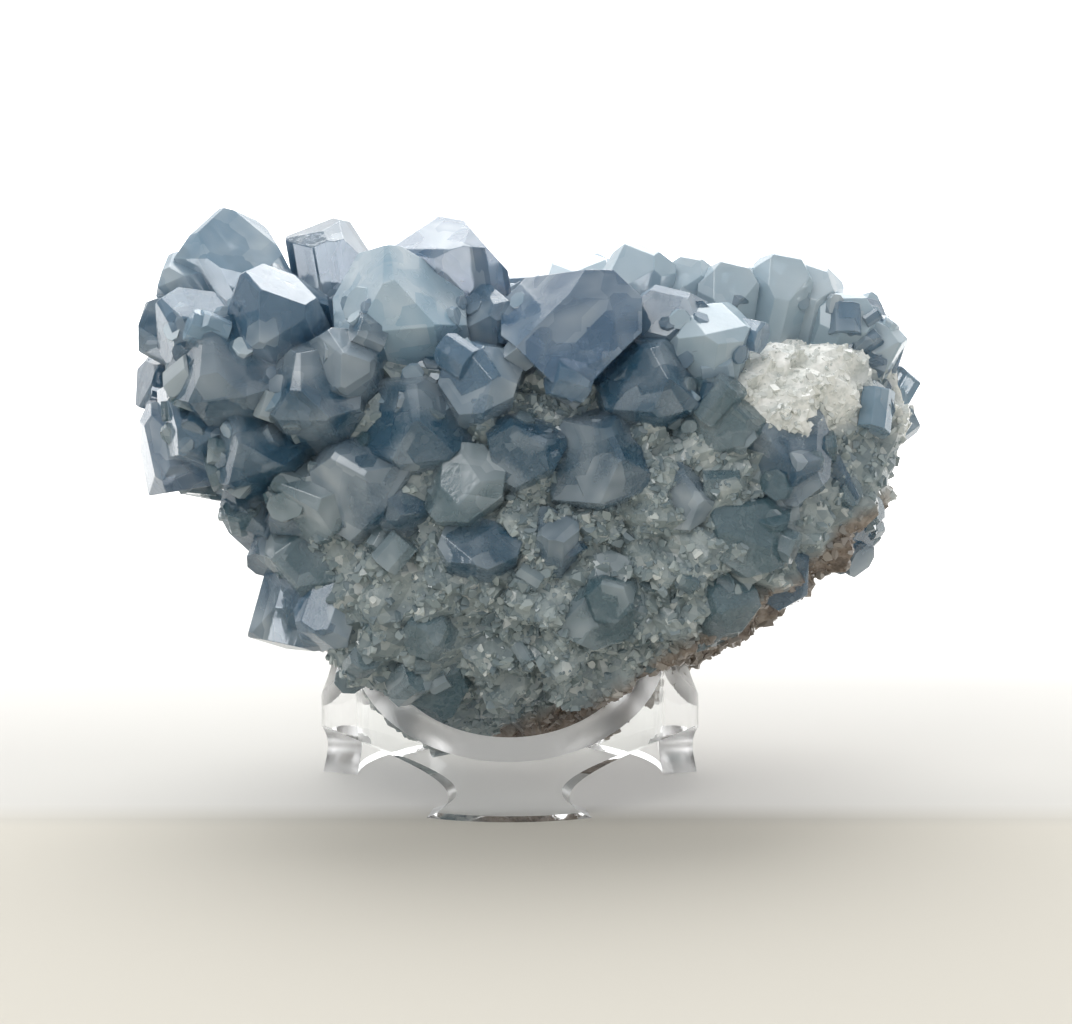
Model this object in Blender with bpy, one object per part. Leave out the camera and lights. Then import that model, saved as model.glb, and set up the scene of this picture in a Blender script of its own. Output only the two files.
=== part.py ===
# Celestite crystal cluster resting on a clear acrylic ring stand, at real size.
# Metres, +Z up, the broken front of the specimen faces -Y. The origin lies on the surface
# that the stand rests on, under the middle of the whole object.
# Places in the lists below are millimetres from the axis of the ring stand.

import math
import random

import bmesh
import bpy
from mathutils import Matrix, Vector, noise

MM = 0.001
GAP = 0.3
WELD = 0.001

# The stand is a slice of thick-walled tube, with scoops cut from its top and arches from its bottom
RING_OUTER = 25.4
RING_WALL = 4.76
RING_HEIGHT = 19.6
RING_SIDES = 48
PRONG_AZIMUTHS = (-30, 90, 210)
FOOT_AZIMUTHS = (-90, 30, 150)
SCOOP_HALF_ANGLE = 53
SCOOP_DEPTH = 11.6
ARCH_HALF_ANGLE = 42
ARCH_HEIGHT = 5.8
ARCH_CENTRE = 3.0
CUTTER_SIDES = 28
CUTTER_REACH = 34

# The massive body is a blunt stone bounded by these planes, each a normal and a point on it
BODY_CENTRE = Vector((8, 0, 37))
BODY_PLANES = (
    ((0.0, 0.05, 1.0), (0, 0, 60)),
    ((0.0, 0.0, -1.0), (0, 0, 4.4)),
    ((0.5, 0.0, 0.87), (46, 0, 60)),
    ((1.0, 0.0, 0.0), (53, 0, 50)),
    ((0.94, 0.0, -0.34), (53.5, 0, 38)),
    ((0.58, 0.0, -0.81), (32, 0, 21.5)),
    ((-0.62, 0.0, -0.78), (-15, 0, 9.5)),
    ((-0.86, 0.0, -0.5), (-27, 0, 22)),
    ((-1.0, 0.0, 0.1), (-36, 0, 50)),
    ((-0.7, 0.0, 0.7), (-37, 0, 55)),
    ((0.0, -1.0, 0.08), (0, -24.5, 40)),
    ((0.0, -0.86, -0.5), (0, -20, 18)),
    ((0.0, -0.6, -0.8), (0, -12, 8)),
    ((0.0, -0.62, 0.78), (0, -20, 58)),
    ((0.6, -0.8, 0.0), (44, -15, 40)),
    ((-0.6, -0.8, 0.0), (-26, -18, 45)),
    ((0.0, 1.0, 0.1), (0, 26, 40)),
    ((0.0, 0.8, -0.6), (0, 18.5, 17)),
    ((0.0, 0.62, 0.78), (0, 22, 57)),
    ((0.62, 0.78, 0.0), (42, 17, 40)),
    ((-0.6, 0.8, 0.0), (-27, 18, 45)),
    ((0.5, -0.55, -0.67), (26, -10, 16)),
    ((0.5, 0.55, -0.67), (26, 12, 17)),
)
BODY_SHARPNESS = 16
BODY_SUBDIVISIONS = 4
LEDGE_STEP = 1.3

# Crystals seen from the front: tip, root, width, thickness, turn about the axis, and kind of end
MAIN_CRYSTALS = (
    # Large pale crystals along the skyline, from left to right
    ((-39.5, -4, 76.5), (-29, 2, 54), 15, 12, 20, "chisel"),
    ((-45.0, -5, 71.0), (-34, 0, 56), 8, 7, 50, "chisel"),
    ((-24.5, 2, 74.8), (-21, 4, 52), 11, 10, 10, "blunt"),
    ((-30.5, -11, 70.5), (-27, -6, 50), 12, 10, 40, "chisel"),
    ((-15.5, -19, 72.5), (-12, -5, 54), 17, 15, 15, "chisel"),
    ((-8.5, -8, 75.8), (-5, -2, 52), 14, 13, 0, "blunt"),
    ((-2.5, -13, 68.5), (-2, -6, 48), 11, 10, 30, "chisel"),
    # The big violet-blue crystal in the centre is seen end on, and a clear one stands behind it
    ((8.0, -26, 63.5), (8.0, -2, 57.5), 18, 18, 0, "kite"),
    ((8.0, -2, 71.0), (8, 2, 54), 11, 10, 45, "blunt"),
    ((17.5, -7, 73.2), (15, -2, 52), 9.5, 9, 25, "chisel"),
    ((20.7, -18, 69.0), (19, -10, 50), 10, 9, 60, "chisel"),
    ((26.0, -20, 66.0), (24, -12, 48), 11, 10, 15, "blunt"),
    ((24.0, -5, 71.5), (23, -2, 54), 8, 7, 35, "chisel"),
    ((29.0, -8, 71.0), (27, -3, 54), 8, 8, 70, "chisel"),
    ((32.5, -2, 69.5), (30, 0, 54), 8, 7, 10, "chisel"),
    ((36.5, -6, 71.8), (33, -2, 54), 9, 8, 50, "chisel"),
    ((40.5, -2, 70.2), (37, 1, 52), 9, 8, 20, "chisel"),
    ((45.0, -5, 66.5), (40, 0, 50), 8, 8, 65, "chisel"),
    ((49.5, -1, 62.5), (42, 0, 48), 9, 8, 30, "blunt"),
    # Left end, overhanging
    ((-48.0, -9, 64.5), (-32, 0, 54), 10, 9, 25, "chisel"),
    ((-44.5, -17, 66.0), (-33, -5, 55), 11, 10, 60, "chisel"),
    ((-48.8, -5, 55.5), (-34, 0, 50), 8, 8, 45, "blunt"),
    ((-38.5, -24, 63.0), (-32, -8, 50), 16.5, 14, 15, "chisel"),
    ((-32.5, -22, 70.0), (-27, -8, 55), 12, 11, 50, "chisel"),
    ((-48.5, -9, 46.0), (-30, -3, 48), 14, 12, 12, "blunt"),
    ((-43.5, -19, 54.0), (-33, -7, 47), 14, 12, 40, "chisel"),
    ((-35.0, -24, 52.0), (-29, -8, 44), 14, 12, 25, "chisel"),
    ((-27.0, -26, 60.0), (-22, -9, 47), 14, 12, 5, "chisel"),
    ((-36.0, -14, 36.0), (-26, -5, 46), 9, 8, 30, "blunt"),
    ((-30.0, -15, 20.6), (-24, -9, 42), 11, 9, 5, "blunt"),
    ((-25.5, -19, 22.0), (-19, -10, 40), 9, 8, 20, "blunt"),
    ((-29.0, -20, 31.5), (-21, -6, 36), 13, 11, 40, "chisel"),
    ((-27.5, -24, 43.0), (-20, -7, 40), 14, 12, 70, "chisel"),
    # Second row, dark crystals that stand in front of the skyline and point out of the mass
    ((-22.5, -25, 63.0), (-18, -9, 49), 11, 10, 45, "chisel"),
    ((-12.0, -27, 55.5), (-11, -9, 44), 16, 13, 10, "chisel"),
    ((-3.0, -26, 60.5), (-4, -8, 48), 11, 10, 30, "chisel"),
    ((2.5, -27, 51.5), (1, -9, 42), 11.5, 10, 60, "chisel"),
    ((13.5, -28, 50.5), (11, -9, 42), 17, 13, 20, "chisel"),
    ((-20.5, -27, 47.5), (-15, -9, 39), 16, 12, 65, "chisel"),
    ((-6.5, -27, 45.5), (-5, -9, 38), 11, 10, 40, "blunt"),
    # Teal crystals laid open in the massive part at the right
    ((19.5, -26, 60.5), (16, -9, 49), 14.5, 12, 15, "chisel"),
    ((28.5, -25, 55.0), (23, -8, 46), 12, 11, 40, "chisel"),
    ((37.0, -22, 49.5), (29, -7, 43), 15.5, 13, 70, "blunt"),
    ((23.0, -26, 45.0), (18, -9, 39), 12, 11, 30, "chisel"),
    ((32.5, -24, 39.0), (26, -8, 36), 13, 12, 55, "blunt"),
    ((44.5, -16, 43.5), (33, -5, 40), 14, 12, 25, "chisel"),
    ((47.0, -9, 34.5), (36, -1, 37), 11, 10, 50, "blunt"),
    ((39.0, -16, 30.5), (28, -4, 34), 12, 11, 10, "chisel"),
    # Smooth grey-blue faces low in the mass
    ((-17.5, -21, 27.5), (-12, -7, 27), 14, 12, 35, "blunt"),
    ((-11.0, -19, 16.5), (-7, -6, 20), 12, 10, 60, "blunt"),
    ((12.5, -25, 29.0), (9, -8, 28), 14, 12, 15, "blunt"),
    ((24.5, -20, 26.5), (18, -6, 28), 12, 11, 45, "blunt"),
)

# Smaller crystals fill in by patches: the centre, the half sizes, the way they lean, how many,
# how wide, and how far they stand out
FILL_PATCHES = (
    ((-24, 12, 59), (16, 9, 3), (-0.35, 0.3, 1.0), 12, 10.5, 8.0),
    ((6, 12, 60), (16, 9, 2), (0.0, 0.35, 1.0), 13, 11.0, 8.0),
    ((33, 11, 58), (13, 8, 3), (0.3, 0.35, 1.0), 10, 9.5, 7.5),
    ((-35, 4, 50), (4, 14, 8), (-1.0, 0.25, 0.3), 9, 10.0, 8.0),
    ((-22, 22, 47), (14, 4, 8), (-0.3, 1.0, 0.5), 9, 10.5, 7.0),
    ((8, 25, 48), (16, 3, 7), (0.0, 1.0, 0.6), 10, 10.5, 6.0),
    ((36, 20, 46), (10, 4, 7), (0.5, 1.0, 0.5), 8, 9.5, 5.0),
    ((6, -23, 34), (24, 2, 10), (0.0, -0.6, 0.8), 7, 9.0, 2.5),
    ((45, 8, 49), (2, 10, 7), (0.4, 0.3, 0.7), 6, 8.0, 4.5),
)

# Each kind of crystal end: how steep its faces are, and how far from the middle they start
CRYSTAL_ENDS = {"chisel": (0.95, 0.0), "blunt": (0.45, 0.30), "kite": (0.3, 0.55)}
KITE_FULLNESS = 0.1


def makeCollection(name):
    collection = bpy.data.collections.new(name)
    bpy.context.scene.collection.children.link(collection)
    return collection


def addObject(name, bm, collection):
    """Turn a bmesh in millimetres into an object in metres."""
    bmesh.ops.scale(bm, vec=(MM, MM, MM), verts=bm.verts)
    mesh = bpy.data.meshes.new(name)
    bm.to_mesh(mesh)
    bm.free()
    obj = bpy.data.objects.new(name, mesh)
    collection.objects.link(obj)
    return obj


def addMaterial(obj, name, colour, roughness, transmission, ior):
    material = bpy.data.materials.new(name)
    material.use_nodes = True
    shader = material.node_tree.nodes["Principled BSDF"]
    shader.inputs["Base Color"].default_value = (*colour, 1)
    shader.inputs["Roughness"].default_value = roughness
    shader.inputs["Metallic"].default_value = 0
    shader.inputs["Transmission Weight"].default_value = transmission
    shader.inputs["IOR"].default_value = ior
    material.diffuse_color = (*colour, 1)
    obj.data.materials.clear()
    obj.data.materials.append(material)


def markCutter(obj):
    obj.hide_render = True
    obj.display_type = "WIRE"


def applyBooleans(obj, operation, cutters):
    """Run one exact Boolean per cutter and keep the result as the object's own mesh."""
    for cutter in cutters:
        modifier = obj.modifiers.new(cutter.name, "BOOLEAN")
        modifier.operation = operation
        modifier.solver = "EXACT"
        modifier.object = cutter
    graph = bpy.context.evaluated_depsgraph_get()
    mesh = bpy.data.meshes.new_from_object(obj.evaluated_get(graph))
    obj.modifiers.clear()
    old = obj.data
    obj.data = mesh
    bpy.data.meshes.remove(old)


def removeObjects(objects):
    for obj in objects:
        bpy.data.objects.remove(obj)


def tube(outer, inner, low, high):
    """A closed tube wall, made as a ring of faces extruded upwards."""
    bm = bmesh.new()
    circles = []
    for radius in (outer, inner):
        made = bmesh.ops.create_circle(bm, cap_ends=False, segments=RING_SIDES, radius=radius)
        circles.extend({edge for vert in made["verts"] for edge in vert.link_edges})
    bmesh.ops.bridge_loops(bm, edges=circles)
    bmesh.ops.translate(bm, vec=(0, 0, low), verts=bm.verts)
    raised = bmesh.ops.extrude_face_region(bm, geom=bm.faces[:])["geom"]
    top = [item for item in raised if isinstance(item, bmesh.types.BMVert)]
    bmesh.ops.translate(bm, vec=(0, 0, high - low), verts=top)
    bmesh.ops.recalc_face_normals(bm, faces=bm.faces)
    return bm


def radialCutter(name, azimuth, half_angle, half_height, centre_height, collection):
    """A lying cone with its point on the ring's axis, so that what it cuts is square to the wall."""
    bm = bmesh.new()
    bmesh.ops.create_cone(
        bm, cap_ends=True, segments=CUTTER_SIDES, radius1=0.01, radius2=1, depth=1,
        matrix=Matrix.Translation((0, 0, 0.5)),
    )
    spread = CUTTER_REACH * math.tan(math.radians(half_angle))
    rise = half_height * CUTTER_REACH / RING_OUTER
    bmesh.ops.scale(bm, vec=(rise, spread, CUTTER_REACH), verts=bm.verts)
    turn = Matrix.Rotation(math.radians(azimuth), 4, "Z") @ Matrix.Rotation(math.radians(90), 4, "Y")
    bmesh.ops.transform(bm, matrix=Matrix.Translation((0, 0, centre_height)) @ turn, verts=bm.verts)
    bmesh.ops.recalc_face_normals(bm, faces=bm.faces)
    cutter = addObject(name, bm, collection)
    markCutter(cutter)
    return cutter


def makeStand(parts, cutters):
    stand = addObject(
        "display_stand", tube(RING_OUTER, RING_OUTER - RING_WALL, 0, RING_HEIGHT), parts
    )
    scoops = [
        radialCutter(f"scoop_{azimuth}", azimuth, SCOOP_HALF_ANGLE, SCOOP_DEPTH, RING_HEIGHT, cutters)
        for azimuth in FOOT_AZIMUTHS
    ]
    arches = [
        radialCutter(f"arch_{azimuth}", azimuth, ARCH_HALF_ANGLE, ARCH_HEIGHT, ARCH_CENTRE, cutters)
        for azimuth in PRONG_AZIMUTHS
    ]
    applyBooleans(stand, "DIFFERENCE", scoops + arches)
    stand.data.shade_smooth()
    stand.data.set_sharp_from_angle(angle=math.radians(30))
    return stand


def makeSeat(cutters):
    """The space that the stand's wall takes, with a gap all round, which the specimen keeps clear of."""
    seat = addObject(
        "seat", tube(RING_OUTER + GAP, RING_OUTER - RING_WALL - GAP, -1, RING_HEIGHT + GAP), cutters
    )
    scoops = [
        radialCutter(
            f"seat_scoop_{azimuth}", azimuth, SCOOP_HALF_ANGLE - 1, SCOOP_DEPTH - GAP,
            RING_HEIGHT + GAP, cutters
        )
        for azimuth in FOOT_AZIMUTHS
    ]
    applyBooleans(seat, "DIFFERENCE", scoops)
    markCutter(seat)
    return seat


def bodyRadius(direction):
    """How far the blunt stone reaches from its centre along a direction."""
    total = 0.0
    for normal, point in BODY_PLANES:
        unit = Vector(normal).normalized()
        distance = unit.dot(Vector(point) - BODY_CENTRE)
        total += max(unit.dot(direction) / distance, 0) ** BODY_SHARPNESS
    return total ** (-1 / BODY_SHARPNESS)


def rockRelief(point):
    """Lumps, and ledges that break off in steps, over the massive body."""
    lumps = 1.6 * noise.noise(point * 0.09)
    broken = noise.noise(point * 0.22 + Vector((7, 3, 5)))
    ledges = LEDGE_STEP * round(broken * 2.2)
    grains = 0.8 * noise.noise(point * 0.45)
    return lumps + ledges + grains


def bodySurface(direction):
    base = BODY_CENTRE + direction * bodyRadius(direction)
    return base + direction * rockRelief(base)


def makeBody(collection):
    bm = bmesh.new()
    bmesh.ops.create_icosphere(bm, subdivisions=BODY_SUBDIVISIONS, radius=1)
    for vert in bm.verts:
        vert.co = bodySurface(vert.co.normalized())
    return addObject("celestite_cluster", bm, collection)


def cutPlane(bm, point, normal):
    """Grind one flat face on a crystal: cut off what lies beyond the plane and close it."""
    cut = bmesh.ops.bisect_plane(
        bm, geom=bm.verts[:] + bm.edges[:] + bm.faces[:], plane_co=point, plane_no=normal,
        clear_outer=True, dist=0.0001,
    )
    rim = [item for item in cut["geom_cut"] if isinstance(item, bmesh.types.BMEdge)]
    if rim:
        bmesh.ops.holes_fill(bm, edges=rim, sides=0)


def crystalPlanes(width, thickness, length, kind, rng):
    """Faces of a celestite crystal on +Z: a four-sided prism with cut corners and a chisel end."""
    half_w, half_t = width / 2, thickness / 2
    top = Vector((0, 0, length))
    planes = []
    corners = ((1, 1), (-1, 1)) if kind == "kite" else ((1, 1), (-1, 1), (-1, -1), (1, -1))
    for side_x, side_y in corners:
        reach = rng.uniform(0.62, 0.8) + KITE_FULLNESS * (kind == "kite")
        planes.append((Vector((side_x * half_w * reach, side_y * half_t * reach, 0)),
                       Vector((side_x * thickness, side_y * width, 0))))
    slope, crest = CRYSTAL_ENDS[kind]
    if kind == "kite":
        for side in (1, -1):
            planes.append((Vector((side * half_w, half_t * 0.1, 0)),
                           Vector((side * half_t, -half_w, 0))))
    for side in (1, -1):
        steep = slope * rng.uniform(0.85, 1.2)
        planes.append((top + Vector((side * half_w * crest, 0, 0)), Vector((side * steep, 0, 1))))
        planes.append((top + Vector((0, side * half_t * rng.uniform(0.25, 0.5), 0)),
                       Vector((0.1, side * steep * 1.15, 1))))
    planes.append((top - Vector((0, 0, rng.uniform(0.2, 0.7))),
                   Vector((rng.uniform(-0.12, 0.12), rng.uniform(-0.12, 0.12), 1))))
    corner = rng.choice((1, -1))
    planes.append((top + Vector((corner * half_w * 0.55, half_t * 0.55, -width * 0.32)),
                   Vector((corner * 1.2, 1.2, 1))))
    return planes


def makeCrystal(name, tip, root, width, thickness, turn, kind, collection):
    tip, root = Vector(tip), Vector(root)
    axis = tip - root
    length = axis.length
    rng = random.Random(f"{name} {width}")
    bm = bmesh.new()
    bmesh.ops.create_cube(bm, size=1, matrix=Matrix.Translation((0, 0, 0.5)))
    bmesh.ops.scale(bm, vec=(width, thickness, length + 1), verts=bm.verts)
    for point, normal in crystalPlanes(width, thickness, length, kind, rng):
        cutPlane(bm, point, normal)
    upright = axis.to_track_quat("Z", "Y").to_matrix().to_4x4()
    spin = Matrix.Rotation(math.radians(turn), 4, "Z")
    bmesh.ops.transform(bm, matrix=Matrix.Translation(root) @ upright @ spin, verts=bm.verts)
    bmesh.ops.recalc_face_normals(bm, faces=bm.faces)
    return addObject(name, bm, collection)


def fillCrystals():
    """Tips and roots of the smaller crystals, set over the patches with no two in one place."""
    placed = []
    for number, (centre, half, lean, count, width, out) in enumerate(FILL_PATCHES):
        rng = random.Random(100 + number)
        made = 0
        for _ in range(count * 12):
            if made == count:
                break
            spot = Vector(centre) + Vector([rng.uniform(-1, 1) * size for size in half])
            outward = (spot - BODY_CENTRE).normalized()
            spot = BODY_CENTRE + outward * bodyRadius(outward)
            if any((spot - other[0]).length < width * 0.62 for other in placed):
                continue
            scatter = Vector([rng.uniform(-0.3, 0.3) for _ in range(3)])
            axis = (Vector(lean).normalized() + outward * 0.5 + scatter).normalized()
            size = width * rng.uniform(0.7, 1.25)
            reach = out * size / width * rng.uniform(0.7, 1.15)
            turn = rng.uniform(0, 180)
            kind = rng.choice(("chisel", "chisel", "blunt"))
            placed.append((spot, spot + axis * reach, spot - axis * size, size, turn, kind))
            made += 1
    return placed


def makeCrystals(collection):
    crystals = []
    for number, (tip, root, width, thickness, turn, kind) in enumerate(MAIN_CRYSTALS):
        crystals.append(makeCrystal(
            f"crystal_{number}", tip, root, width, thickness, turn, kind, collection))
    for number, (_, tip, root, size, turn, kind) in enumerate(fillCrystals()):
        crystals.append(makeCrystal(
            f"fill_{number}", tip, root, size, size * 0.85, turn, kind, collection))
    return crystals


def keepLargestShell(obj):
    """Drop the sealed voids and crumbs that a union of many crystals leaves."""
    bm = bmesh.new()
    bm.from_mesh(obj.data)
    unseen = set(bm.verts)
    shells = []
    while unseen:
        shell, stack = set(), [unseen.pop()]
        while stack:
            vert = stack.pop()
            shell.add(vert)
            for edge in vert.link_edges:
                other = edge.other_vert(vert)
                if other in unseen:
                    unseen.discard(other)
                    stack.append(other)
        shells.append(shell)
    largest = max(shells, key=len)
    spare = [vert for shell in shells if shell is not largest for vert in shell]
    bmesh.ops.delete(bm, geom=spare, context="VERTS")
    bmesh.ops.remove_doubles(bm, verts=bm.verts, dist=WELD * MM)
    bm.to_mesh(obj.data)
    bm.free()


def moveToOrigin(objects):
    """Put the origin under the middle of the whole object, on the surface that it stands on."""
    corners = [vert.co for obj in objects for vert in obj.data.vertices]
    low = Vector([min(co[axis] for co in corners) for axis in range(3)])
    high = Vector([max(co[axis] for co in corners) for axis in range(3)])
    shift = Matrix.Translation((-(low.x + high.x) / 2, -(low.y + high.y) / 2, -low.z))
    for obj in objects:
        obj.data.transform(shift)


def main():
    for obj in list(bpy.data.objects):
        bpy.data.objects.remove(obj)
    parts = makeCollection("celestite_on_stand")
    cutters = makeCollection("cutters")

    stand = makeStand(parts, cutters)
    addMaterial(stand, "clear_acrylic", (0.95, 0.96, 0.97), 0.03, 1.0, 1.49)

    cluster = makeBody(parts)
    crystals = makeCrystals(cutters)
    applyBooleans(cluster, "UNION", crystals)
    seat = makeSeat(cutters)
    applyBooleans(cluster, "DIFFERENCE", [seat])
    keepLargestShell(cluster)
    addMaterial(cluster, "blue_celestite", (0.29, 0.37, 0.45), 0.25, 0.0, 1.62)

    removeObjects(list(cutters.objects))
    bpy.data.collections.remove(cutters)
    moveToOrigin([stand, cluster])


main()
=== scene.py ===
import math
import random

import bmesh
import bpy
from mathutils import Matrix, Vector, noise
from mathutils.bvhtree import BVHTree


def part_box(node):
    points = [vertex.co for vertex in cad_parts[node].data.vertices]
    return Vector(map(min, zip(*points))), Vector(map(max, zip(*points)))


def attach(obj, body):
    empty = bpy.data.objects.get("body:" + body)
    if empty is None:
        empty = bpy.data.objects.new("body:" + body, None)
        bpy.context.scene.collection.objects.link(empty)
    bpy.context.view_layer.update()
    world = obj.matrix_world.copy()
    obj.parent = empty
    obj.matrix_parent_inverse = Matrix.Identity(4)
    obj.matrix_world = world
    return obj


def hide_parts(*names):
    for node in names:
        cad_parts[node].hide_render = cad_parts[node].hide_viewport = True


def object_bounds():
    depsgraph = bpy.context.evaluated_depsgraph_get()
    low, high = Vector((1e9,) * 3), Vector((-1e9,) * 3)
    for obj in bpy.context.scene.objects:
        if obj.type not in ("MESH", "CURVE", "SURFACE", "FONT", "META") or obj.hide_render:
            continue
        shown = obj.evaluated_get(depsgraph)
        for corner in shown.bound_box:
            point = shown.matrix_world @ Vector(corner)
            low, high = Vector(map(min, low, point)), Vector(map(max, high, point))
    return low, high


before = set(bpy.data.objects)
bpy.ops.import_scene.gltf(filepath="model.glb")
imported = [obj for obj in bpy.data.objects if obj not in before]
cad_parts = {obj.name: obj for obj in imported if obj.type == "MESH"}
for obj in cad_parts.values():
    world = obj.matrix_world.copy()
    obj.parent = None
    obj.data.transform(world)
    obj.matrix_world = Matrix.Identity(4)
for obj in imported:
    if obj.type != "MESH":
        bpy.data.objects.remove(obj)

# Celestite crystal cluster on a clear acrylic ring stand. Places in the lists are millimetres
# from the axis of the ring, as they are in the solids.

mm = 0.001
cadLow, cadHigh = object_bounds()
ringLow, ringHigh = (Vector(corner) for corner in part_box("display_stand"))
ringAxis = Vector(((ringLow.x + ringHigh.x) / 2, (ringLow.y + ringHigh.y) / 2, 0))


# Small helpers

def say(stage):
    print("scene:", stage)


def place(point):
    return Vector(point) * mm + ringAxis


def deselectAll():
    if bpy.context.object and bpy.context.object.mode != "OBJECT":
        bpy.ops.object.mode_set(mode="OBJECT")
    bpy.ops.object.select_all(action="DESELECT")


def pick(objects):
    deselectAll()
    for obj in objects:
        obj.select_set(True)
    bpy.context.view_layer.objects.active = objects[0]


def joinAll(objects, name):
    pick(objects)
    if len(objects) > 1:
        bpy.ops.object.join()
    joined = bpy.context.object
    joined.name = joined.data.name = name
    return joined


def toLinear(hexColour):
    values = [int(hexColour[i:i + 2], 16) / 255 for i in (1, 3, 5)]
    return [v / 12.92 if v <= 0.04045 else ((v + 0.055) / 1.055) ** 2.4 for v in values] + [1.0]


# Adds one node: its own settings, the values of its inputs, what feeds them, and, for a colour
# ramp, its stops
def addNode(tree, kind, settings=None, values=None, links=None, stops=()):
    node = tree.nodes.new(kind)
    for key, value in (settings or {}).items():
        setattr(node, key, value)
    for key, value in (values or {}).items():
        node.inputs[key].default_value = value
    for key, socket in (links or {}).items():
        tree.links.new(socket, node.inputs[key])
    for number, (spot, colour) in enumerate(stops):
        if number > 1:
            node.color_ramp.elements.new(1.0)
        node.color_ramp.elements[number].position = spot
        node.color_ramp.elements[number].color = toLinear(colour)
    return node


def newMaterial(name):
    material = bpy.data.materials.new(name)
    material.use_nodes = True
    return material, material.node_tree, material.node_tree.nodes["Principled BSDF"]


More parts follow.
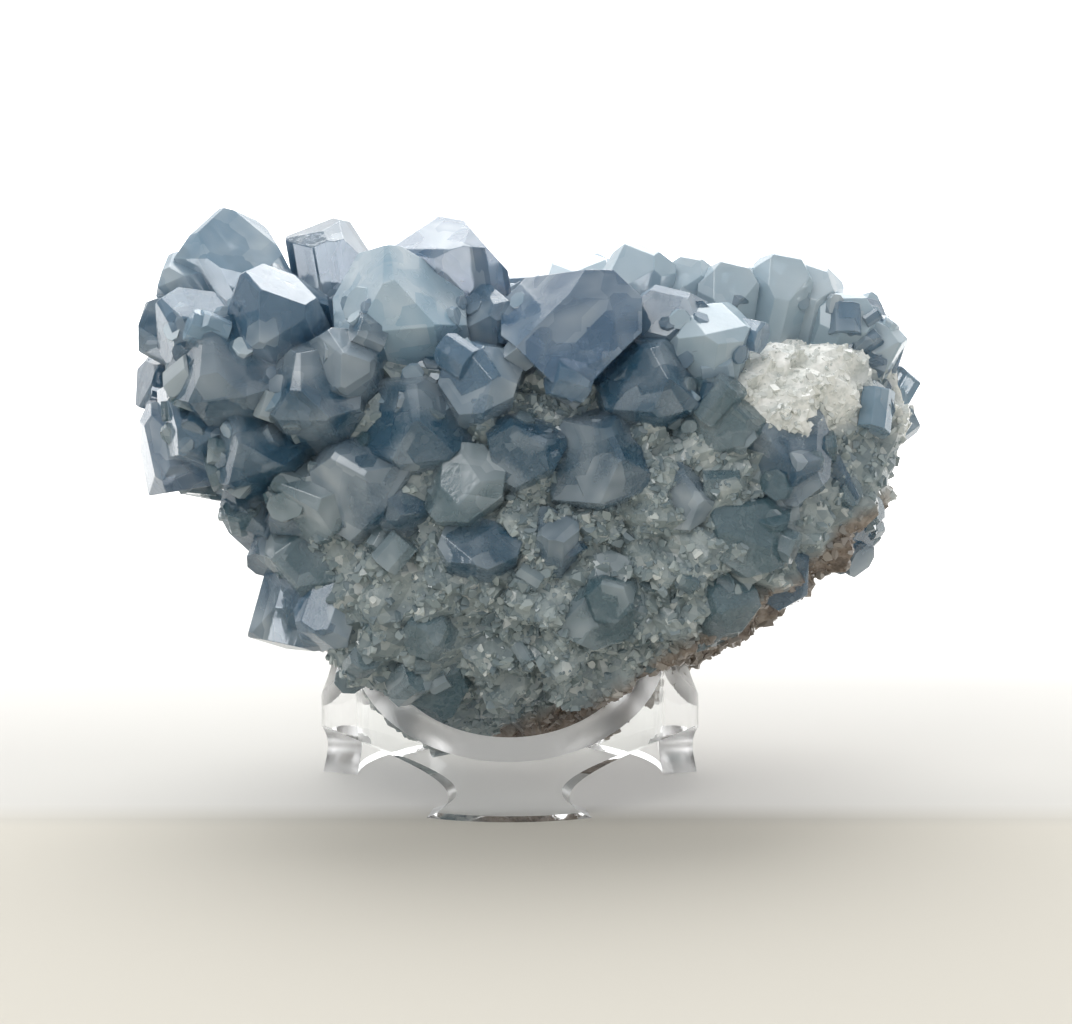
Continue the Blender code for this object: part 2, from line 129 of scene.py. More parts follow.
# Crystals, in the places that the solids have them: tip, root, width, thickness, turn, kind of
# end, and the tone of the stuff
mainCrystals = (
    # Large pale crystals along the skyline, from left to right
    ((-39.5, -4, 76.5), (-29, 2, 54), 15, 12, 20, "chisel", "pale"),
    ((-45.0, -5, 71.0), (-34, 0, 56), 8, 7, 50, "chisel", "pale"),
    ((-24.5, 2, 74.8), (-21, 4, 52), 11, 10, 10, "blunt", "deep"),
    ((-30.5, -11, 70.5), (-27, -6, 50), 12, 10, 40, "chisel", "deep"),
    ((-15.5, -19, 72.5), (-12, -5, 54), 17, 15, 15, "chisel", "milky"),
    ((-8.5, -8, 75.8), (-5, -2, 52), 14, 13, 0, "blunt", "violet"),
    ((-2.5, -13, 68.5), (-2, -6, 48), 11, 10, 30, "chisel", "mid"),
    # The big violet-blue crystal in the centre is seen end on, and a clear one stands behind it
    ((8.0, -26, 63.5), (8.0, -2, 57.5), 18, 18, 0, "kite", "violet"),
    ((8.0, -2, 71.0), (8, 2, 54), 11, 10, 45, "blunt", "frost"),
    ((17.5, -7, 73.2), (15, -2, 52), 9.5, 9, 25, "chisel", "frost"),
    ((20.7, -18, 69.0), (19, -10, 50), 10, 9, 60, "chisel", "mid"),
    ((26.0, -20, 66.0), (24, -12, 48), 11, 10, 15, "blunt", "frost"),
    ((24.0, -5, 71.5), (23, -2, 54), 8, 7, 35, "chisel", "frost"),
    ((29.0, -8, 71.0), (27, -3, 54), 8, 8, 70, "chisel", "frost"),
    ((32.5, -2, 69.5), (30, 0, 54), 8, 7, 10, "chisel", "frost"),
    ((36.5, -6, 71.8), (33, -2, 54), 9, 8, 50, "chisel", "frost"),
    ((40.5, -2, 70.2), (37, 1, 52), 9, 8, 20, "chisel", "frost"),
    ((45.0, -5, 66.5), (40, 0, 50), 8, 8, 65, "chisel", "frost"),
    ((49.5, -1, 62.5), (42, 0, 48), 9, 8, 30, "blunt", "frost"),
    # Left end, overhanging
    ((-48.0, -9, 64.5), (-32, 0, 54), 10, 9, 25, "chisel", "deep"),
    ((-44.5, -17, 66.0), (-33, -5, 55), 11, 10, 60, "chisel", "mid"),
    ((-48.8, -5, 55.5), (-34, 0, 50), 8, 8, 45, "blunt", "deep"),
    ((-38.5, -24, 63.0), (-32, -8, 50), 16.5, 14, 15, "chisel", "deep"),
    ((-32.5, -22, 70.0), (-27, -8, 55), 12, 11, 50, "chisel", "mid"),
    ((-48.5, -9, 46.0), (-30, -3, 48), 14, 12, 12, "blunt", "violet"),
    ((-43.5, -19, 54.0), (-33, -7, 47), 14, 12, 40, "chisel", "mid"),
    ((-35.0, -24, 52.0), (-29, -8, 44), 14, 12, 25, "chisel", "deep"),
    ((-27.0, -26, 60.0), (-22, -9, 47), 14, 12, 5, "chisel", "deep"),
    ((-36.0, -14, 36.0), (-26, -5, 46), 9, 8, 30, "blunt", "deep"),
    ((-30.0, -15, 20.6), (-24, -9, 42), 11, 9, 5, "blunt", "deep"),
    ((-25.5, -19, 22.0), (-19, -10, 40), 9, 8, 20, "blunt", "mid"),
    ((-29.0, -20, 31.5), (-21, -6, 36), 13, 11, 40, "chisel", "smoky"),
    ((-27.5, -24, 43.0), (-20, -7, 40), 14, 12, 70, "chisel", "smoky"),
    # Second row, dark crystals that stand in front of the skyline and point out of the mass
    ((-22.5, -25, 63.0), (-18, -9, 49), 11, 10, 45, "chisel", "deep"),
    ((-12.0, -27, 55.5), (-11, -9, 44), 16, 13, 10, "chisel", "deep"),
    ((-3.0, -26, 60.5), (-4, -8, 48), 11, 10, 30, "chisel", "mid"),
    ((2.5, -27, 51.5), (1, -9, 42), 11.5, 10, 60, "chisel", "deep"),
    ((13.5, -28, 50.5), (11, -9, 42), 17, 13, 20, "chisel", "deep"),
    ((-20.5, -27, 47.5), (-15, -9, 39), 16, 12, 65, "chisel", "deep"),
    ((-6.5, -27, 45.5), (-5, -9, 38), 11, 10, 40, "blunt", "smoky"),
    # Teal crystals laid open in the massive part at the right
    ((19.5, -26, 60.5), (16, -9, 49), 14.5, 12, 15, "chisel", "deep"),
    ((28.5, -25, 55.0), (23, -8, 46), 12, 11, 40, "chisel", "smoky"),
    ((37.0, -22, 49.5), (29, -7, 43), 15.5, 13, 70, "blunt", "deep"),
    ((23.0, -26, 45.0), (18, -9, 39), 12, 11, 30, "chisel", "deep"),
    ((32.5, -24, 39.0), (26, -8, 36), 13, 12, 55, "blunt", "smoky"),
    ((44.5, -16, 43.5), (33, -5, 40), 14, 12, 25, "chisel", "deep"),
    ((47.0, -9, 34.5), (36, -1, 37), 11, 10, 50, "blunt", "deep"),
    ((39.0, -16, 30.5), (28, -4, 34), 12, 11, 10, "chisel", "mid"),
    # Smooth grey-blue faces low in the mass
    ((-17.5, -21, 27.5), (-12, -7, 27), 14, 12, 35, "blunt", "smoky"),
    ((-11.0, -19, 16.5), (-7, -6, 20), 12, 10, 60, "blunt", "smoky"),
    ((12.5, -25, 29.0), (9, -8, 28), 14, 12, 15, "blunt", "smoky"),
    ((24.5, -20, 26.5), (18, -6, 28), 12, 11, 45, "blunt", "smoky"),
)

# Smaller crystals by patches: centre, half sizes, lean, how many, how wide, how far out, tones
fillPatches = (
    ((-24, 12, 59), (16, 9, 3), (-0.35, 0.3, 1.0), 12, 10.5, 8.0, ("pale", "mid")),
    ((6, 12, 60), (16, 9, 2), (0.0, 0.35, 1.0), 13, 11.0, 8.0, ("pale", "mid")),
    ((33, 11, 58), (13, 8, 3), (0.3, 0.35, 1.0), 10, 9.5, 7.5, ("frost", "pale")),
    ((-35, 4, 50), (4, 14, 8), (-1.0, 0.25, 0.3), 9, 10.0, 8.0, ("mid", "deep")),
    ((-22, 22, 47), (14, 4, 8), (-0.3, 1.0, 0.5), 9, 10.5, 7.0, ("mid", "deep")),
    ((8, 25, 48), (16, 3, 7), (0.0, 1.0, 0.6), 10, 10.5, 6.0, ("mid", "smoky")),
    ((36, 20, 46), (10, 4, 7), (0.5, 1.0, 0.5), 8, 9.5, 5.0, ("mid", "smoky")),
    ((6, -23, 34), (24, 2, 10), (0.0, -0.6, 0.8), 7, 9.0, 2.5, ("smoky", "deep")),
    ((45, 8, 49), (2, 10, 7), (0.4, 0.3, 0.7), 6, 8.0, 4.5, ("pale", "mid")),
)

crystalLook = {
    "edgeWear": 0.07,        # mm rubbed off each edge
    "kiteFullness": 0.1,
    "ends": {"chisel": (0.95, 0.0), "blunt": (0.45, 0.30), "kite": (0.3, 0.55)},
}

# The clear stand: a slice of thick-walled tube, scooped over each foot and arched under each prong
standLook = {
    "outer": 25.4, "wall": 4.76, "height": 19.6, "sides": 144,
    "scoopHalfAngle": 53, "scoopDepth": 11.6,
    "archHalfAngle": 42, "archHeight": 5.8, "archCentre": 3.0,
    "cutterSides": 96, "cutterReach": 34,
    "prongAzimuths": (-30, 90, 210), "footAzimuths": (-90, 30, 150),
}

# The massive body: a blunt stone bounded by planes, each a normal and a point on it
bodyLook = {
    "centre": Vector((8, 0, 37)),
    "sharpness": 16,
    "ledgeStep": 1.3,
    "subdivisions": 6,
    "blockSize": 5.2,        # mm, the broken blocks of massive celestite
    "grainSize": 1.5,        # mm, the sugary grains on them
    "proud": 0.9,            # mm that the broken blocks may stand out at most
    "clearance": 0.5,        # mm kept free of the stand
}
bodyPlanes = (
    ((0.0, 0.05, 1.0), (0, 0, 60)),
    ((0.0, 0.0, -1.0), (0, 0, 4.4)),
    ((0.5, 0.0, 0.87), (46, 0, 60)),
    ((1.0, 0.0, 0.0), (53, 0, 50)),
    ((0.94, 0.0, -0.34), (53.5, 0, 38)),
    ((0.58, 0.0, -0.81), (32, 0, 21.5)),
    ((-0.62, 0.0, -0.78), (-15, 0, 9.5)),
    ((-0.86, 0.0, -0.5), (-27, 0, 22)),
    ((-1.0, 0.0, 0.1), (-36, 0, 50)),
    ((-0.7, 0.0, 0.7), (-37, 0, 55)),
    ((0.0, -1.0, 0.08), (0, -24.5, 40)),
    ((0.0, -0.86, -0.5), (0, -20, 18)),
    ((0.0, -0.6, -0.8), (0, -12, 8)),
    ((0.0, -0.62, 0.78), (0, -20, 58)),
    ((0.6, -0.8, 0.0), (44, -15, 40)),
    ((-0.6, -0.8, 0.0), (-26, -18, 45)),
    ((0.0, 1.0, 0.1), (0, 26, 40)),
    ((0.0, 0.8, -0.6), (0, 18.5, 17)),
    ((0.0, 0.62, 0.78), (0, 22, 57)),
    ((0.62, 0.78, 0.0), (42, 17, 40)),
    ((-0.6, 0.8, 0.0), (-27, 18, 45)),
    ((0.5, -0.55, -0.67), (26, -10, 16)),
    ((0.5, 0.55, -0.67), (26, 12, 17)),
)
bodyFaces = []
for faceNormal, facePoint in bodyPlanes:
    unit = Vector(faceNormal).normalized()
    bodyFaces.append((unit / unit.dot(Vector(facePoint) - bodyLook["centre"])))


def bodyRadius(direction):
    total = 0.0
    for scaledNormal in bodyFaces:
        share = scaledNormal.dot(direction)
        if share > 0:
            total += share ** bodyLook["sharpness"]
    return total ** (-1 / bodyLook["sharpness"])


# Crystal making

def crystalPlanes(width, thickness, length, kind, rng):
    halfW, halfT = width / 2, thickness / 2
    top = Vector((0, 0, length))
    planes = []
    corners = ((1, 1), (-1, 1)) if kind == "kite" else ((1, 1), (-1, 1), (-1, -1), (1, -1))
    for sideX, sideY in corners:
        reach = rng.uniform(0.62, 0.8) + crystalLook["kiteFullness"] * (kind == "kite")
        planes.append((Vector((sideX * halfW * reach, sideY * halfT * reach, 0)),
                       Vector((sideX * thickness, sideY * width, 0))))
    slope, crest = crystalLook["ends"][kind]
    if kind == "kite":
        for side in (1, -1):
            planes.append((Vector((side * halfW, halfT * 0.1, 0)),
                           Vector((side * halfT, -halfW, 0))))
    for side in (1, -1):
        steep = slope * rng.uniform(0.85, 1.2)
        planes.append((top + Vector((side * halfW * crest, 0, 0)), Vector((side * steep, 0, 1))))
        planes.append((top + Vector((0, side * halfT * rng.uniform(0.25, 0.5), 0)),
                       Vector((0.1, side * steep * 1.15, 1))))
    planes.append((top - Vector((0, 0, rng.uniform(0.2, 0.7))),
                   Vector((rng.uniform(-0.12, 0.12), rng.uniform(-0.12, 0.12), 1))))
    corner = rng.choice((1, -1))
    planes.append((top + Vector((corner * halfW * 0.55, halfT * 0.55, -width * 0.32)),
                   Vector((corner * 1.2, 1.2, 1))))
    return planes


# Cuts the mesh in edit mode by each plane and closes the cut, as a lapidary grinds a face
def grindFaces(planes):
    for point, normal in planes:
        bpy.ops.mesh.select_all(action="SELECT")
        bpy.ops.mesh.bisect(
            plane_co=Vector(point) * mm, plane_no=Vector(normal).normalized(), use_fill=True,
            clear_outer=True, threshold=0.000001)


# Keeps each crystal's own axes in an attribute, so that its growth lines follow its length
def writeCrystalSpace(obj, seed):
    shift = Vector((seed * 1.37 % 7, seed * 2.11 % 5, seed * 3.71 % 9)) * 10 * mm
    axes = obj.data.attributes.new("crystalSpace", "FLOAT_VECTOR", "POINT")
    for vert, item in zip(obj.data.vertices, axes.data):
        item.vector = vert.co + shift


def growCrystal(name, tip, root, width, thickness, turn, kind, tone, seed):
    tip, root = Vector(tip), Vector(root)
    axis = tip - root
    length = axis.length
    rng = random.Random(f"{name} {width}")
    bpy.ops.mesh.primitive_cube_add(size=1, location=(0, 0, 0))
    obj = bpy.context.object
    obj.name = name
    obj.scale = Vector((width, thickness, length + 1)) * mm
    bpy.ops.object.transform_apply(location=False, rotation=False, scale=True)
    obj.location = (0, 0, (length + 1) / 2 * mm)
    bpy.ops.object.transform_apply(location=True, rotation=False, scale=False)
    obj.data.materials.append(celestites[tone])
    bpy.ops.object.mode_set(mode="EDIT")
    grindFaces(crystalPlanes(width, thickness, length, kind, rng))
    bpy.ops.mesh.select_all(action="SELECT")
    bpy.ops.mesh.remove_doubles(threshold=0.00002)
    bpy.ops.mesh.bevel(offset=crystalLook["edgeWear"] * mm, segments=1, affect="EDGES",
                       clamp_overlap=True)
    bpy.ops.object.mode_set(mode="OBJECT")
    writeCrystalSpace(obj, seed)
    upright = axis.to_track_quat("Z", "Y").to_matrix().to_4x4()
    spin = Matrix.Rotation(math.radians(turn), 4, "Z")
    obj.data.transform(Matrix.Translation(place(root)) @ upright @ spin)
    return obj


def fillCrystals():
    placed = []
    for number, (centre, half, lean, count, width, out, tones) in enumerate(fillPatches):
        rng = random.Random(100 + number)
        made = 0
        for _ in range(count * 12):
            if made == count:
                break
            spot = Vector(centre) + Vector([rng.uniform(-1, 1) * size for size in half])
            outward = (spot - bodyLook["centre"]).normalized()
            spot = bodyLook["centre"] + outward * bodyRadius(outward)
            if any((spot - other[0]).length < width * 0.62 for other in placed):
                continue
            scatter = Vector([rng.uniform(-0.3, 0.3) for _ in range(3)])
            axis = (Vector(lean).normalized() + outward * 0.5 + scatter).normalized()
            size = width * rng.uniform(0.7, 1.25)
            reach = out * size / width * rng.uniform(0.7, 1.15)
            turn = rng.uniform(0, 180)
            kind = rng.choice(("chisel", "chisel", "blunt"))
            tone = tones[made % 2]
            placed.append((spot, spot + axis * reach, spot - axis * size, size, turn, kind, tone))
            made += 1
    return placed


# Finishes

celestiteTones = {
    # body colour, clear share, absorption colour, density per metre, roughness
    "frost": ("#c6deec", 0.44, "#86bce2", 16, 0.09),
    "pale": ("#94b7cf", 0.54, "#74aed4", 20, 0.09),
    "milky": ("#9fbed1", 0.28, "#94bedb", 18, 0.22),
    "mid": ("#6990ae", 0.56, "#589cce", 28, 0.08),
    "violet": ("#577d9f", 0.50, "#5a91c9", 30, 0.08),
    "deep": ("#44718e", 0.58, "#468fc0", 34, 0.06),
    "smoky": ("#648592", 0.56, "#6aa6b8", 26, 0.09),
}


# Celestite, a clear blue sulfate: glassy faces, seen through in part, with pale veils inside
def celestiteCrystal(name, base, clear, soaked, density, rough):
    material, tree, shader = newMaterial(name)
    axes = addNode(tree, "ShaderNodeAttribute", {"attribute_name": "crystalSpace"})
    # Veils of tiny bubbles, some 8 mm across, turn the clear stuff a little milky in places
    veil = addNode(tree, "ShaderNodeTexNoise",
                   values={"Scale": 110.0, "Detail": 2.0, "Roughness": 0.5, "Distortion": 0.4},
                   links={"Vector": axes.outputs["Vector"]})
    # The crystal is built of blocks about 5 mm across, each a little clearer or paler than the next
    stretched = addNode(tree, "ShaderNodeMapping", values={"Scale": (1.0, 1.0, 0.55)},
                        links={"Vector": axes.outputs["Vector"]})
    blocks = addNode(tree, "ShaderNodeTexVoronoi", {"distance": "CHEBYCHEV"}, {"Scale": 210.0},
                     {"Vector": stretched.outputs["Vector"]})
    shade = addNode(tree, "ShaderNodeSeparateColor", links={"Color": blocks.outputs["Color"]})
    mood = addNode(tree, "ShaderNodeMath", {"operation": "MULTIPLY_ADD"}, {1: 0.22},
                   {0: shade.outputs["Red"], 2: veil.outputs["Fac"]})
    clarity = addNode(tree, "ShaderNodeMapRange",
                      values={"From Min": 0.5, "From Max": 0.9, "To Min": clear,
                              "To Max": clear * 0.65},
                      links={"Value": mood.outputs["Value"]})
    tint = addNode(tree, "ShaderNodeValToRGB", links={"Fac": mood.outputs["Value"]},
                   stops=((0.5, base), (1.0, "#d3dee4")))
    tree.links.new(tint.outputs["Color"], shader.inputs["Base Color"])
    # Growth lines run along the crystal, about 0.7 mm apart, and catch the light faintly
    lines = addNode(tree, "ShaderNodeMapping", values={"Scale": (1400, 1400, 60)},
                    links={"Vector": axes.outputs["Vector"]})
    grooves = addNode(tree, "ShaderNodeTexNoise", values={"Scale": 1.0, "Detail": 1.0},
                      links={"Vector": lines.outputs["Vector"]})
    bump = addNode(tree, "ShaderNodeBump", values={"Strength": 0.2, "Distance": 0.0001},
                   links={"Height": grooves.outputs["Fac"]})
    # Etched patches of about 2 mm are duller than the rest of a face
    pits = addNode(tree, "ShaderNodeTexNoise", values={"Scale": 480.0, "Detail": 1.0},
                   links={"Vector": axes.outputs["Vector"]})
    frost = addNode(tree, "ShaderNodeMapRange",
                    values={"From Min": 0.5, "From Max": 0.75, "To Min": rough, "To Max": rough + 0.14},
                    links={"Value": pits.outputs["Fac"]})
    # The clear share has no colour at its faces, so that its blue comes from its depth alone
    clearStuff = addNode(tree, "ShaderNodeBsdfPrincipled",
                         values={"Transmission Weight": 1.0, "IOR": 1.62})
    for stuff in (shader, clearStuff):
        tree.links.new(bump.outputs["Normal"], stuff.inputs["Normal"])
        tree.links.new(frost.outputs["Result"], stuff.inputs["Roughness"])
    clearStuff.inputs["Base Color"].default_value = (1, 1, 1, 1)
    shader.inputs["IOR"].default_value = 1.62
    blend = addNode(tree, "ShaderNodeMixShader",
                    links={0: clarity.outputs["Result"], 1: shader.outputs["BSDF"],
                           2: clearStuff.outputs["BSDF"]})
    tree.links.new(blend.outputs["Shader"], tree.nodes["Material Output"].inputs["Surface"])
    absorb = addNode(tree, "ShaderNodeVolumeAbsorption",
                     values={"Color": toLinear(soaked), "Density": density})
    tree.links.new(absorb.outputs["Volume"], tree.nodes["Material Output"].inputs["Volume"])
    return material


# Massive celestite, broken and sugary: grey-green grains with white flecks, in part painted glints, tan
# rind below
def massiveCelestite():
    material, tree, shader = newMaterial("massive_celestite")
    coords = addNode(tree, "ShaderNodeTexCoord")
    marks = addNode(tree, "ShaderNodeAttribute", {"attribute_name": "zones"})
    zones = addNode(tree, "ShaderNodeSeparateColor", links={"Color": marks.outputs["Color"]})
    # Cloudy and clearer patches, some 10 mm across, from blue-grey to pale sage grey
    patches = addNode(tree, "ShaderNodeTexNoise",
                      values={"Scale": 95.0, "Detail": 4.0, "Roughness": 0.65},
                      links={"Vector": coords.outputs["Object"]})
    stone = addNode(tree, "ShaderNodeValToRGB", links={"Fac": patches.outputs["Fac"]},
                    stops=((0.3, "#4f606a"), (0.45, "#6b7b82"), (0.58, "#88959a"), (0.72, "#bcc3c2")))
    # Each grain, about 1.2 mm, has a brightness of its own, and a few are bright flecks: white grains
    # in part, painted glints in part
    cells = addNode(tree, "ShaderNodeTexVoronoi", values={"Scale": 850.0, "Randomness": 1.0},
                    links={"Vector": coords.outputs["Object"]})
    grey = addNode(tree, "ShaderNodeSeparateColor", links={"Color": cells.outputs["Color"]})
    flecksAndGlints = addNode(tree, "ShaderNodeValToRGB", links={"Fac": grey.outputs["Red"]},
                    stops=((0.0, "#78868a"), (0.5, "#949f9d"), (0.86, "#b0b9b5"), (0.97, "#e6e9e4")))
    mixed = addNode(tree, "ShaderNodeMix", {"data_type": "RGBA"}, {"Factor": 0.45},
                    {"A": stone.outputs["Color"], "B": flecksAndGlints.outputs["Color"]})
    fine = addNode(tree, "ShaderNodeTexNoise",
                   values={"Scale": 420.0, "Detail": 3.0, "Roughness": 0.7},
                   links={"Vector": coords.outputs["Object"]})
    rust = addNode(tree, "ShaderNodeValToRGB", links={"Fac": fine.outputs["Fac"]},
                   stops=((0.32, "#4f443a"), (0.5, "#786a5d"), (0.66, "#a0958a")))
    snow = addNode(tree, "ShaderNodeValToRGB", links={"Fac": fine.outputs["Fac"]},
                   stops=((0.32, "#c3c8c4"), (0.5, "#e2e4df"), (0.66, "#f8f8f4")))
    withRust = addNode(tree, "ShaderNodeMix", {"data_type": "RGBA"},
                       links={"Factor": zones.outputs["Red"], "A": mixed.outputs["Result"],
                              "B": rust.outputs["Color"]})
    withSnow = addNode(tree, "ShaderNodeMix", {"data_type": "RGBA"},
                       links={"Factor": zones.outputs["Green"], "A": withRust.outputs["Result"],
                              "B": snow.outputs["Color"]})
    tree.links.new(withSnow.outputs["Result"], shader.inputs["Base Color"])
    gloss = addNode(tree, "ShaderNodeMapRange",
                    values={"From Min": 0.3, "From Max": 0.7, "To Min": 0.15, "To Max": 0.5},
                    links={"Value": fine.outputs["Fac"]})
    tree.links.new(gloss.outputs["Result"], shader.inputs["Roughness"])
    bump = addNode(tree, "ShaderNodeBump", values={"Strength": 0.5, "Distance": 0.0003},
                   links={"Height": fine.outputs["Fac"]})
    tree.links.new(bump.outputs["Normal"], shader.inputs["Normal"])
    shader.inputs["IOR"].default_value = 1.62
    return material


# Loose-standing grains of celestite: small glassy chips, some cloudy white, some clear blue
def sugarGrain():
    material, tree, shader = newMaterial("sugary_grain")
    own = addNode(tree, "ShaderNodeAttribute", {"attribute_name": "tint"})
    channels = addNode(tree, "ShaderNodeSeparateColor", links={"Color": own.outputs["Color"]})
    chip = addNode(tree, "ShaderNodeValToRGB", links={"Fac": channels.outputs["Red"]},
                   stops=((0.0, "#6f7f87"), (0.4, "#8a989b"), (0.75, "#a9b4b3"), (1.0, "#eef1ed")))
    snow = addNode(tree, "ShaderNodeMix", {"data_type": "RGBA"}, {"B": toLinear("#e6e8e3")},
                   {"Factor": channels.outputs["Green"], "A": chip.outputs["Color"]})
    earth = addNode(tree, "ShaderNodeMix", {"data_type": "RGBA"}, {"B": toLinear("#93867a")},
                    {"Factor": channels.outputs["Blue"], "A": snow.outputs["Result"]})
    tree.links.new(earth.outputs["Result"], shader.inputs["Base Color"])
    shader.inputs["IOR"].default_value = 1.62
    shader.inputs["Roughness"].default_value = 0.15
    return material


# Cast acrylic tube: polished walls, clear as water
def clearAcrylic():
    material, _, shader = newMaterial("clear_acrylic")
    shader.inputs["Base Color"].default_value = toLinear("#fdfefe")
    shader.inputs["Transmission Weight"].default_value = 1.0
    shader.inputs["IOR"].default_value = 1.49
    shader.inputs["Roughness"].default_value = 0.02
    return material


# The same acrylic where it was cut and sanded: a white frost of fine scratches
def frostedAcrylic():
    material, tree, shader = newMaterial("frosted_acrylic")
    coords = addNode(tree, "ShaderNodeTexCoord")
    scratches = addNode(tree, "ShaderNodeTexNoise", values={"Scale": 1800.0, "Detail": 3.0},
                        links={"Vector": coords.outputs["Object"]})
    frost = addNode(tree, "ShaderNodeMapRange", values={"To Min": 0.3, "To Max": 0.6},
                    links={"Value": scratches.outputs["Fac"]})
    tree.links.new(frost.outputs["Result"], shader.inputs["Roughness"])
    shader.inputs["Base Color"].default_value = toLinear("#ffffff")
    shader.inputs["Transmission Weight"].default_value = 0.86
    shader.inputs["IOR"].default_value = 1.49
    return material


# A sweep of plain card: warm grey in front of the stand, white behind, lit from behind, and glowing
# with painted light behind the stand's front foot and further back
def paleCard():
    material, tree, shader = newMaterial("pale_card")
    coords = addNode(tree, "ShaderNodeTexCoord")
    parts = addNode(tree, "ShaderNodeSeparateXYZ", links={"Vector": coords.outputs["Object"]})
    depth = addNode(tree, "ShaderNodeMapRange", values={"From Min": -0.030, "From Max": 0.24},
                    links={"Value": parts.outputs["Y"]})
    # Warm grey in front of the front foot. Just behind it the colour drops to a darker grey, which the
    # painted glow below lifts to hide the shadow there, and far back it turns white
    colour = addNode(tree, "ShaderNodeValToRGB", links={"Fac": depth.outputs["Result"]},
                     stops=((0.0, "#cac6bc"), (0.02, "#c2bfb7"), (0.045, "#a9a7a1"),
                            (0.3, "#b4b2ad"), (0.9, "#ffffff")))
    tree.links.new(colour.outputs["Color"], shader.inputs["Base Color"])
    # Painted light: emission fills the shadow behind the stand's front foot, and a second glow
    # brightens the card further back, so the card glows though it is no lamp
    near = addNode(tree, "ShaderNodeMapRange",
                   values={"From Min": -0.026, "From Max": -0.018, "To Min": 0.0,
                           "To Max": stageLook["paintedShadowFill"]},
                   links={"Value": parts.outputs["Y"]})
    far = addNode(tree, "ShaderNodeMapRange",
                  values={"From Min": 0.01, "From Max": 0.22, "To Min": 0.0,
                          "To Max": stageLook["paintedFarGlow"]},
                  links={"Value": parts.outputs["Y"]})
    paintedGlow = addNode(tree, "ShaderNodeMath", {"operation": "ADD"},
                   links={0: near.outputs["Result"], 1: far.outputs["Result"]})
    shader.inputs["Emission Color"].default_value = toLinear("#ffffff")
    tree.links.new(paintedGlow.outputs["Value"], shader.inputs["Emission Strength"])
    shader.inputs["Roughness"].default_value = 0.9
    shader.inputs["Specular IOR Level"].default_value = 0.1
    return material


# Lengths of the stage are metres, and its glows are strengths of light; the card's glows are painted
# light
stageLook = {
    "paintedShadowFill": 0.27, "paintedFarGlow": 0.3, "world": 0.72, "halfWidth": 2.0, "front": -1.6,
    "bendStart": 0.35, "bendRadius": 0.65, "bendSteps": 12, "wallTop": 1.6, "aim": (0, 0, 0.04),
}

say("finishes")
celestites = {
    tone: celestiteCrystal(tone + "_celestite", *values) for tone, values in celestiteTones.items()
}
stoneFinish = massiveCelestite()
grainFinish = sugarGrain()
wallFinish = clearAcrylic()
cutFinish = frostedAcrylic()


# The crystals

def makeCrystals():
    deselectAll()
    made = []
    for number, (tip, root, width, thickness, turn, kind, tone) in enumerate(mainCrystals):
        made.append(growCrystal(f"crystal_{number}", tip, root, width, thickness, turn, kind, tone,
                                number))
    for number, (_, tip, root, size, turn, kind, tone) in enumerate(fillCrystals()):
        made.append(growCrystal(f"fill_{number}", tip, root, size, size * 0.85, turn, kind, tone,
                                number + 60))
    return joinAll(made, "celestite_crystals")


say("crystals")
crystals = makeCrystals()
print("faces", len(crystals.data.polygons))


# The massive body

def rockRelief(point):
    lumps = 1.6 * noise.noise(point * 0.09)
    broken = noise.noise(point * 0.22 + Vector((7, 3, 5)))
    ledges = bodyLook["ledgeStep"] * round(broken * 2.2)
    grains = 0.8 * noise.noise(point * 0.45)
    return lumps + ledges + grains


# Relief of angular grains: each cell of a Voronoi pattern is a flat face with its own tilt
def brokenFacets(point, size, depth):
    found = noise.voronoi(point / size)
    heart = Vector(found[1][0])
    tilt = noise.cell_vector(heart * 13.7 + Vector((0.31, 0.17, 0.53))) - Vector((0.5, 0.5, 0.5))
    away = point / size - heart
    return depth * (2.2 * away.dot(tilt) + 0.8 * (tilt.x + tilt.y) - 0.35 * found[0][0])


# Heights, places and widths in mm: the rind rises to both sides of the stone's middle, and the
# druse is an oval patch and a band down the right edge
zoneLook = {
    "rindHeight": 14.5, "rindRise": (0.6, 0.62), "rindWave": 4, "rindFade": 2.5,
    "rindBack": 8, "rindBackLift": 6,
    "snowMiddle": (36, 60), "snowHalf": (13, 10), "snowFullness": 1.7,
    "edgeStart": 49.5, "edgeFade": 3, "edgeMiddle": 47, "edgeHalf": 12,
    "waviness": 0.12,
}


# Tan rind lies along the lower right edge and the underside, higher up at the back
def rindShare(point):
    away = point.x - bodyLook["centre"].x
    riseLeft, riseRight = zoneLook["rindRise"]
    edge = zoneLook["rindHeight"] + away * (riseRight if away > 0 else riseLeft)
    if point.y > zoneLook["rindBack"]:
        edge += zoneLook["rindBackLift"]
    edge += zoneLook["rindWave"] * noise.noise(point * zoneLook["waviness"])
    return min(max((edge - point.z) / zoneLook["rindFade"], 0), 1)


# White druse crusts the upper right and runs on down the right edge
def snowShare(point):
    wobble = noise.noise(point * zoneLook["waviness"])
    (middleX, middleZ), (halfX, halfZ) = zoneLook["snowMiddle"], zoneLook["snowHalf"]
    patch = zoneLook["snowFullness"] - ((point.x - middleX) / halfX) ** 2
    patch += wobble - ((point.z - middleZ) / halfZ) ** 2
    past = max(abs(point.z - zoneLook["edgeMiddle"]) - zoneLook["edgeHalf"], 0)
    edge = (point.x - zoneLook["edgeStart"]) / zoneLook["edgeFade"] + 1.2 * wobble - past / 4
    return min(max(patch, edge, 0), 1)


# How far the stone may reach along a way out before it would touch the ring
def seatLimit(direction):
    centre = bodyLook["centre"]
    inner = standLook["outer"] - standLook["wall"] - bodyLook["clearance"]
    outer = standLook["outer"] + bodyLook["clearance"]
    for step in range(1, 400):
        point = centre + direction * step * 0.15
        if point.z > standLook["height"] + 1:
            continue
        across = math.hypot(point.x, point.y)
        if inner < across < outer and point.z < ringTop(point) + bodyLook["clearance"]:
            return (step - 1) * 0.15
    return 1000


